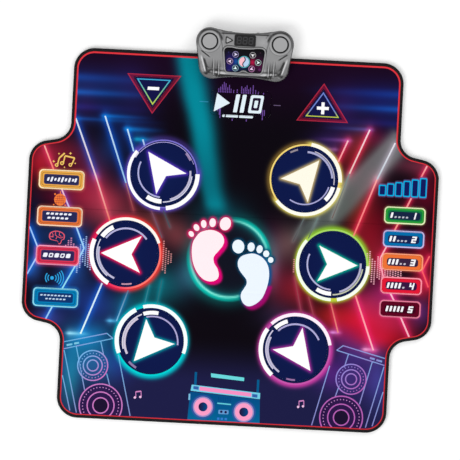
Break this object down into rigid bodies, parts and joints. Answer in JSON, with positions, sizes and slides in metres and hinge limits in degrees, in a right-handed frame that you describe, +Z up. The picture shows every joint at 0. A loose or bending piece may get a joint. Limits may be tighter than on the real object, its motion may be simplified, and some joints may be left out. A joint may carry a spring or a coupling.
{
  "type": "electronic dance mat",
  "caption": "Foldable padded dance mat with lit arrow step pads, printed mode and level keys, folding panels, and a grey control box with display and buttons clamped to its back edge.",
  "frame": {"origin": "centre of the mat's outline, on the floor under it", "axes": "+X to the player's right, +Y away from the player towards the control box, +Z up out of the mat"},
  "size_m": [0.93, 0.8995, 0.0343],
  "materials": {
    "base_cloth": "matte",
    "contact_film": "satin",
    "foam": "matte",
    "top_film": "satin",
    "printed_cover": "satin",
    "edge_binding": "matte",
    "ring_light": "satin",
    "step_pad": "satin",
    "start_pad": "satin",
    "menu_pad": "satin",
    "mode_amber": "satin",
    "mode_orange": "satin",
    "mode_pink": "satin",
    "mode_blue": "satin",
    "level_green": "satin",
    "level_blue": "satin",
    "level_orange": "satin",
    "level_red": "satin",
    "level_maroon": "satin",
    "box_shell": "satin",
    "box_base": "matte",
    "button": "satin",
    "cell": "gloss",
    "contact_metal": "satin",
    "circuit_board": "satin",
    "display": "gloss",
    "window": "gloss",
    "label": "gloss",
    "cue_light": "gloss",
    "speaker": "satin",
    "speaker_cone": "matte",
    "switch_knob": "matte",
    "screw": "satin",
    "flat_cable": "satin",
    "socket": "satin"
  },
  "bodies": {
    "back_panel": {"base_cloth_back": "base_cloth", "contact_film_back": "contact_film", "foam_back": "foam", "top_film_back": "top_film", "cover_back": "printed_cover", "binding_back": "edge_binding", "ring_lights_back": "ring_light", "box_top_shell": "box_shell", "box_bottom_shell": "box_base", "batteries": "cell", "battery_springs": "contact_metal", "battery_plates": "contact_metal", "main_board": "circuit_board", "display_module": "display", "display_window": "window", "label_inlay": "label", "cue_lights": "cue_light", "speaker": "speaker", "speaker_cone": "speaker_cone", "shell_screws": "screw", "flat_cable": "flat_cable", "aux_socket": "socket", "key_switches": "socket"},
    "middle_panel": {"base_cloth_middle": "base_cloth", "contact_film_middle": "contact_film", "foam_middle": "foam", "top_film_middle": "top_film", "cover_middle": "printed_cover", "binding_middle": "edge_binding", "ring_lights_middle": "ring_light"},
    "front_panel": {"base_cloth_front": "base_cloth", "contact_film_front": "contact_film", "foam_front": "foam", "top_film_front": "top_film", "cover_front": "printed_cover", "binding_front": "edge_binding", "ring_lights_front": "ring_light"},
    "step_pad_back_left": {"step_pad_back_left": "step_pad"},
    "step_pad_back_right": {"step_pad_back_right": "step_pad"},
    "start_pad": {"start_pad": "start_pad"},
    "minus_pad": {"minus_pad": "menu_pad"},
    "plus_pad": {"plus_pad": "menu_pad"},
    "mode_pad_1": {"mode_pad_1": "mode_amber"},
    "level_pad_1": {"level_pad_1": "level_green"},
    "step_pad_left": {"step_pad_left": "step_pad"},
    "step_pad_right": {"step_pad_right": "step_pad"},
    "mode_pad_2": {"mode_pad_2": "mode_orange"},
    "mode_pad_3": {"mode_pad_3": "mode_pink"},
    "level_pad_2": {"level_pad_2": "level_blue"},
    "level_pad_3": {"level_pad_3": "level_orange"},
    "level_pad_4": {"level_pad_4": "level_red"},
    "step_pad_front_left": {"step_pad_front_left": "step_pad"},
    "step_pad_front_right": {"step_pad_front_right": "step_pad"},
    "mode_pad_4": {"mode_pad_4": "mode_blue"},
    "level_pad_5": {"level_pad_5": "level_maroon"},
    "battery_door": {"battery_door": "box_base"},
    "play_key": {"play_key": "button"},
    "left_button": {"left_button": "button"},
    "right_button": {"right_button": "button"},
    "power_switch_knob": {"power_switch_knob": "switch_knob"}
  },
  "joints": [
    {"name": "back_fold", "type": "hinge", "parent": "back_panel", "child": "middle_panel", "pos_m": [0, 0.0575, 0.0088], "axis": [-1, 0, 0], "range_deg": [0, 179.5]},
    {"name": "front_fold", "type": "hinge", "parent": "middle_panel", "child": "front_panel", "pos_m": [0, -0.1172, -0.0003], "axis": [-1, 0, 0], "range_deg": [-179.5, 0]},
    {"name": "step_pad_back_left_press", "type": "slide", "parent": "back_panel", "child": "step_pad_back_left", "axis": [0, 0, -1], "range_m": [0, 0.002], "stiffness_N_per_m": 3000},
    {"name": "step_pad_back_right_press", "type": "slide", "parent": "back_panel", "child": "step_pad_back_right", "axis": [0, 0, -1], "range_m": [0, 0.002], "stiffness_N_per_m": 3000},
    {"name": "start_pad_press", "type": "slide", "parent": "back_panel", "child": "start_pad", "axis": [0, 0, -1], "range_m": [0, 0.002], "stiffness_N_per_m": 1200},
    {"name": "minus_pad_press", "type": "slide", "parent": "back_panel", "child": "minus_pad", "axis": [0, 0, -1], "range_m": [0, 0.002], "stiffness_N_per_m": 1200},
    {"name": "plus_pad_press", "type": "slide", "parent": "back_panel", "child": "plus_pad", "axis": [0, 0, -1], "range_m": [0, 0.002], "stiffness_N_per_m": 1200},
    {"name": "mode_pad_1_press", "type": "slide", "parent": "back_panel", "child": "mode_pad_1", "axis": [0, 0, -1], "range_m": [0, 0.002], "stiffness_N_per_m": 1200},
    {"name": "level_pad_1_press", "type": "slide", "parent": "back_panel", "child": "level_pad_1", "axis": [0, 0, -1], "range_m": [0, 0.002], "stiffness_N_per_m": 1200},
    {"name": "step_pad_left_press", "type": "slide", "parent": "middle_panel", "child": "step_pad_left", "axis": [0, 0, -1], "range_m": [0, 0.002], "stiffness_N_per_m": 3000},
    {"name": "step_pad_right_press", "type": "slide", "parent": "middle_panel", "child": "step_pad_right", "axis": [0, 0, -1], "range_m": [0, 0.002], "stiffness_N_per_m": 3000},
    {"name": "mode_pad_2_press", "type": "slide", "parent": "middle_panel", "child": "mode_pad_2", "axis": [0, 0, -1], "range_m": [0, 0.002], "stiffness_N_per_m": 1200},
    {"name": "mode_pad_3_press", "type": "slide", "parent": "middle_panel", "child": "mode_pad_3", "axis": [0, 0, -1], "range_m": [0, 0.002], "stiffness_N_per_m": 1200},
    {"name": "level_pad_2_press", "type": "slide", "parent": "middle_panel", "child": "level_pad_2", "axis": [0, 0, -1], "range_m": [0, 0.002], "stiffness_N_per_m": 1200},
    {"name": "level_pad_3_press", "type": "slide", "parent": "middle_panel", "child": "level_pad_3", "axis": [0, 0, -1], "range_m": [0, 0.002], "stiffness_N_per_m": 1200},
    {"name": "level_pad_4_press", "type": "slide", "parent": "middle_panel", "child": "level_pad_4", "axis": [0, 0, -1], "range_m": [0, 0.002], "stiffness_N_per_m": 1200},
    {"name": "step_pad_front_left_press", "type": "slide", "parent": "front_panel", "child": "step_pad_front_left", "axis": [0, 0, -1], "range_m": [0, 0.002], "stiffness_N_per_m": 3000},
    {"name": "step_pad_front_right_press", "type": "slide", "parent": "front_panel", "child": "step_pad_front_right", "axis": [0, 0, -1], "range_m": [0, 0.002], "stiffness_N_per_m": 3000},
    {"name": "mode_pad_4_press", "type": "slide", "parent": "front_panel", "child": "mode_pad_4", "axis": [0, 0, -1], "range_m": [0, 0.002], "stiffness_N_per_m": 1200},
    {"name": "level_pad_5_press", "type": "slide", "parent": "front_panel", "child": "level_pad_5", "axis": [0, 0, -1], "range_m": [0, 0.002], "stiffness_N_per_m": 1200},
    {"name": "battery_door_hinge", "type": "hinge", "parent": "back_panel", "child": "battery_door", "pos_m": [0.01, 0.4565, 0.00095], "axis": [-1, 0, 0], "range_deg": [-95, 0]},
    {"name": "play_key_press", "type": "slide", "parent": "back_panel", "child": "play_key", "axis": [0, 0, -1], "range_m": [0, 0.001], "stiffness_N_per_m": 250},
    {"name": "left_button_press", "type": "slide", "parent": "back_panel", "child": "left_button", "axis": [0, 0, -1], "range_m": [0, 0.001], "stiffness_N_per_m": 800},
    {"name": "right_button_press", "type": "slide", "parent": "back_panel", "child": "right_button", "axis": [0, 0, -1], "range_m": [0, 0.001], "stiffness_N_per_m": 800},
    {"name": "power_switch_slide", "type": "slide", "parent": "back_panel", "child": "power_switch_knob", "axis": [1, 0, 0], "range_m": [0, 0.0085]}
  ],
  "couplings": [
    {"joint": "front_fold", "follows": "back_fold", "ratio": -1}
  ]
}
